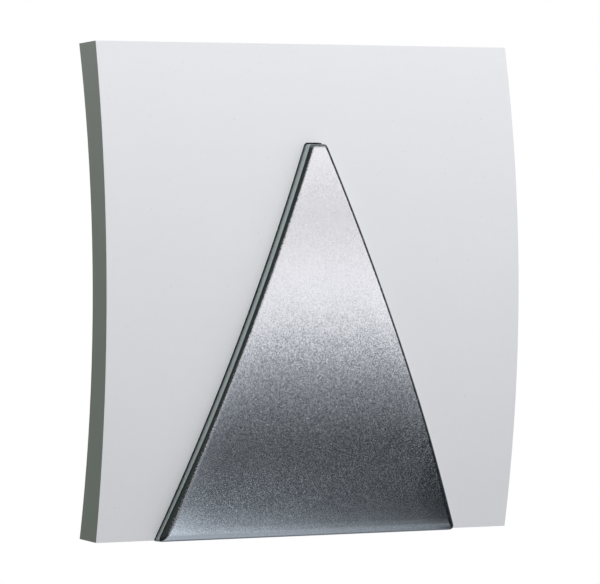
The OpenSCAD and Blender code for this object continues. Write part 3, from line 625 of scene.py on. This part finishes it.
def floor_material():
    """Pale matt floor that is clear when seen from below."""
    mat, n, shader = material("floor_pale", (0.86, 0.86, 0.86, 1), 0.7, shade_spread=0.01)
    clear = n.add("ShaderNodeBsdfTransparent")
    mixed = n.add("ShaderNodeMixShader")
    n.link(n.add("ShaderNodeNewGeometry").outputs["Backfacing"], mixed.inputs[0])
    n.link(shader.outputs[0], mixed.inputs[1])
    n.link(clear.outputs[0], mixed.inputs[2])
    out = [node for node in mat.node_tree.nodes if node.type == "OUTPUT_MATERIAL"][0]
    n.link(mixed.outputs[0], out.inputs[0])
    return mat


def finish_piece(obj, body, slot, *replaced):
    """Gives a new piece the material of its slot and its body, and hides the CAD nodes that it replaces.
    """
    obj.data.materials.clear()
    obj.data.materials.append(LOOKS[slot])
    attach(obj, body)
    if replaced:
        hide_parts(*replaced)


# ---------- Pieces that replace CAD nodes ----------

finish_piece(panel_mesh(), "panel", "panel_silver", "push_panel")

SPRING_R = 3.6 * MM
SPRING_WIRE_R = 0.3 * MM
SPRING_TURNS = 8
SPRING_STEPS = 40
SPRING_Z = -45 * MM
SPRING_X = 30 * MM


def spring_points(side):
    """The coil of the CAD's spring, closed over its first and last turn."""
    low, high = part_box(side + "_return_spring")
    length = high.y - low.y - 2 * SPRING_WIRE_R
    wire = 2 * SPRING_WIRE_R
    x = -SPRING_X if side == "left" else SPRING_X
    pts = []
    for i in range(SPRING_TURNS * SPRING_STEPS + 1):
        turn = i / SPRING_STEPS
        if turn < 1:
            rise = turn * wire
        elif turn > SPRING_TURNS - 1:
            rise = length - (SPRING_TURNS - turn) * wire
        else:
            rise = wire + (turn - 1) * (length - 2 * wire) / (SPRING_TURNS - 2)
        a = 2 * math.pi * turn
        pts.append(Vector((x + SPRING_R * math.cos(a), high.y - SPRING_WIRE_R - rise,
                           SPRING_Z + SPRING_R * math.sin(a))))
    return pts


for side in ("left", "right"):
    node_name = side + "_return_spring"
    spring = swept_tube(node_name + "_coil", spring_points(side), SPRING_WIRE_R)
    finish_piece(spring, "housing", "spring_steel", node_name)
    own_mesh(spring)

# ---------- CAD nodes that stay, with rounded edges ----------

WELD_GAP = 0.002 * MM
FLAT_ANGLE = 0.1        # faces that meet at less than this many degrees become one
EDGE_ANGLE = 32         # edges sharper than this many degrees are rounded

# Bevel width in mm and number of segments
SMALL_ROUNDING = (0.05, 1)
ROUNDING = {
    "front_cover": (0.35, 3),
    "base_housing": (0.3, 2),
    "wall_gasket": (0.2, 2),
    "cable_grommet": (0.3, 2),
    "panel_carrier": (0.2, 2),
    "terminal_block": (0.3, 2),
    "switch_case": (0.15, 2),
    "cover_screws": (0.12, 2),
    "carrier_screws": (0.08, 2),
    "hinge_pin": (0.12, 2),
    "down_stop_bumpers": (0.25, 2),
    "rest_bumpers": (0.15, 2),
    "cover_seal": (0.15, 2),
}
for name, obj in nodes.items():
    if obj.hide_render:
        continue
    obj.data.materials.clear()
    obj.data.materials.append(LOOKS[SLOT_OF[name]])
    weld = obj.modifiers.new("Weld", "WELD")
    weld.merge_threshold = WELD_GAP
    flat = obj.modifiers.new("Flat faces", "DECIMATE")
    flat.decimate_type = "DISSOLVE"
    flat.angle_limit = math.radians(FLAT_ANGLE)
    width, segments = ROUNDING.get(name, SMALL_ROUNDING)
    bevel = obj.modifiers.new("Rounded", "BEVEL")
    bevel.width = width * MM
    bevel.segments = segments
    bevel.limit_method = "ANGLE"
    bevel.angle_limit = math.radians(EDGE_ANGLE)
    bevel.use_clamp_overlap = True
    bevel.miter_outer = "MITER_ARC"
    obj.modifiers.new("Normals", "WEIGHTED_NORMAL").keep_sharp = False

# ---------- Light ----------

world = bpy.data.worlds.new("studio")
scene.world = world
world.use_nodes = True
w = Nodes(world.node_tree)
world_out = w.add("ShaderNodeOutputWorld")
background = w.add("ShaderNodeBackground")
w.link(background.outputs[0], world_out.inputs[0])
direction = w.add("ShaderNodeTexCoord").outputs["Generated"]
split = w.add("ShaderNodeSeparateXYZ")
w.link(direction, split.inputs[0])
dx, dy, dz = split.outputs
DEG = 180 / math.pi
azimuth = w.math("MULTIPLY", w.math("ARCTAN2", dx, w.math("MULTIPLY", dy, -1.0)), DEG)
height = w.math("MULTIPLY", w.math("ARCSINE", dz), DEG)


def w_mix(share, a, b):
    """a where share is 0, b where it is 1."""
    return w.math("ADD", w.math("MULTIPLY", a, w.math("SUBTRACT", 1.0, share)),
                  w.math("MULTIPLY", b, share))


# What glossy surfaces see: a soft studio, and in it a bright window to the right front above a dark
# floor. Heights and azimuths are in degrees, azimuth 0 is in front, and a level of 1 is plain white.
# A pair of numbers says between which two heights, azimuths or directions the light changes, and
# four numbers say its two levels as well.
STUDIO = (-12, 3, 0.36, 0.95)
WINDOW_LEVEL = 1.14
BAR_LOW, BAR_MIDDLE, BAR_HIGH = 2.0, 5.0, 8.5
BAR_DIMMING = 0.45
WINDOW_FOOT = (-6.7, -3.3)
WINDOW_LEFT = (24, 31)
WINDOW_RIGHT = (40, 52)
LEFT_GLOW_DX = (0.50, 0.56)             # DX is the sideways part of a direction
RIGHT_GLOW = (-19, -26, 0.0, 0.14)
LEFT_GLOW = (-15.5, -24, 0.085, 1.1)
FOOT_GLOW = (-13, -7.8, 0, 0.235)
FLOOR_FADE = (-25, -32)
FLOOR_DX = (0.533, 0.56, 0.52, 0.40)
FLOOR_END_DX = (0.564, 0.574)
FLOOR_END_LEVEL = 0.06
UNDER_FADE = (-60, -80)
UNDER_LEVEL = 0.35
TOP_FADE = (32, 48)
TOP_LEVEL = 0.85
BEHIND_FADE = (-12, -30)
BEHIND_LEVELS = (0.6, 0.18)
BEHIND_DY = (0.1, 0.5)
COOL_FADE = (-9, -1)
COOL_AZIMUTH = (10, 26)
COOL_TINT = (0.93, 1.04, 1.15, 1)
WARM_TINT = (1.0, 0.985, 1.01, 1)

soft = w.ramp(height, *STUDIO)
bar = w.math("MULTIPLY", w.ramp(height, BAR_LOW, BAR_MIDDLE), w.ramp(height, BAR_MIDDLE, BAR_HIGH, 1, 0))
window = w.math("SUBTRACT", 1.0, w.math("MULTIPLY", bar, BAR_DIMMING))
window = w.math("MULTIPLY", window, WINDOW_LEVEL)
low_left = w.ramp(dx, *LEFT_GLOW_DX, 1, 0)
below = w_mix(low_left, w.ramp(height, *RIGHT_GLOW), w.ramp(height, *LEFT_GLOW))
below = w.math("ADD", below, w.ramp(height, *FOOT_GLOW))
window = w_mix(w.ramp(height, *WINDOW_FOOT), below, window)
in_front = w.math("MULTIPLY", w.ramp(azimuth, *WINDOW_LEFT), w.ramp(azimuth, *WINDOW_RIGHT, 1, 0))
glossy = w_mix(in_front, soft, window)
floor_light = w.ramp(dx, *FLOOR_DX)
floor_light = w_mix(w.ramp(dx, *FLOOR_END_DX), floor_light, FLOOR_END_LEVEL)
floor_light = w_mix(w.ramp(height, *UNDER_FADE), floor_light, UNDER_LEVEL)
glossy = w_mix(w.ramp(height, *FLOOR_FADE), glossy, floor_light)
glossy = w_mix(w.ramp(height, *TOP_FADE), glossy, TOP_LEVEL)
behind = w_mix(w.ramp(height, *BEHIND_FADE), *BEHIND_LEVELS)
glossy = w_mix(w.ramp(dy, *BEHIND_DY), glossy, behind)
warm = w.math("MAXIMUM", w.ramp(height, *COOL_FADE), w.ramp(azimuth, *COOL_AZIMUTH, 1, 0))
tone = w.mix_colour(warm, COOL_TINT, WARM_TINT)
glossy = w.mix_colour(1.0, tone, glossy, "MULTIPLY")

# What lights matt surfaces: pale from the right and the front, dim and olive from the left, grey behind
SIDE_WAY = (0.94, -0.342)
SIDE_FADE = (-0.18, 0.18)
LEFT_OLIVE = (0.062, 0.085, 0.055, 1)
RIGHT_PALE = (0.855, 0.85, 0.88, 1)
BACK_WAY = (0.5, 0.866)
BACK_FADE = (0.45, 0.85)
BACK_GREY = (0.80, 0.81, 0.82, 1)


def towards(way):
    """How far a direction points along way, which is an x and a y."""
    return w.math("ADD", w.math("MULTIPLY", dx, way[0]), w.math("MULTIPLY", dy, way[1]))


matt = w.mix_colour(w.ramp(towards(SIDE_WAY), *SIDE_FADE), LEFT_OLIVE, RIGHT_PALE)
matt = w.mix_colour(w.ramp(towards(BACK_WAY), *BACK_FADE), matt, BACK_GREY)

path = w.add("ShaderNodeLightPath")
lit = w.mix_colour(path.outputs["Is Glossy Ray"], matt, glossy)
seen = w.mix_colour(path.outputs["Is Camera Ray"], lit, grey(1))
w.link(seen, background.inputs[0])


def soft_box(name, place, aim, size, watts):
    """A round soft light that shows neither to the camera nor in reflections."""
    data = bpy.data.lights.new(name, "AREA")
    data.shape = "DISK"
    data.size = size
    data.energy = watts
    obj = bpy.data.objects.new(name, data)
    obj.location = place
    obj.rotation_euler = (Vector(aim) - Vector(place)).to_track_quat("-Z", "Y").to_euler()
    obj.visible_camera = False
    obj.visible_glossy = False
    scene.collection.objects.link(obj)


soft_box("overhead", (0.25, -0.62, 1.2), (0, 0, 0), 0.9, 12.8)
soft_box("upper_left_fill", (-0.16, 0, 0.15), (-0.075, -0.013, 0.06), 0.08, 0.016)

# ---------- Floor ----------

FLOOR_DROP = 0.30
FLOOR_R = 1.2
FLOOR_STEPS = 96
floor_ring = []
for k in range(FLOOR_STEPS):
    a = 2 * math.pi * k / FLOOR_STEPS
    floor_ring.append(Vector((FLOOR_R * math.cos(a), FLOOR_R * math.sin(a), -FLOOR_DROP)))
floor = new_object("floor", floor_ring, [tuple(range(FLOOR_STEPS))])
floor.data.materials.append(floor_material())
floor.visible_glossy = False
floor.visible_diffuse = False

# ---------- Camera ----------

CAMERA_DISTANCE = 1.655
CAMERA_YAW = 0.5847
CAMERA_PITCH = 0.0189
CAMERA_LENS = 324.5
SENSOR_WIDTH = 36
AIM_RIGHT = -1.64 * MM
AIM_UP = -0.8 * MM
front_edges = Vector((0, CROWN_Y + FRONT_RISE, 0))
outwards = Vector((-math.sin(CAMERA_YAW) * math.cos(CAMERA_PITCH),
                   -math.cos(CAMERA_YAW) * math.cos(CAMERA_PITCH), math.sin(CAMERA_PITCH)))
right = Vector((math.cos(CAMERA_YAW), -math.sin(CAMERA_YAW), 0))
up = outwards.cross(right)
camera_data = bpy.data.cameras.new("camera")
camera_data.sensor_width = SENSOR_WIDTH
camera_data.lens = CAMERA_LENS
camera_data.clip_start = 0.05
camera_data.clip_end = 20
camera = bpy.data.objects.new("camera", camera_data)
camera.location = front_edges + CAMERA_DISTANCE * outwards
aim = front_edges + AIM_RIGHT * right + AIM_UP * up
camera.rotation_euler = (aim - camera.location).to_track_quat("-Z", "Y").to_euler()
scene.collection.objects.link(camera)
scene.camera = camera
scene.view_settings.view_transform = "Standard"
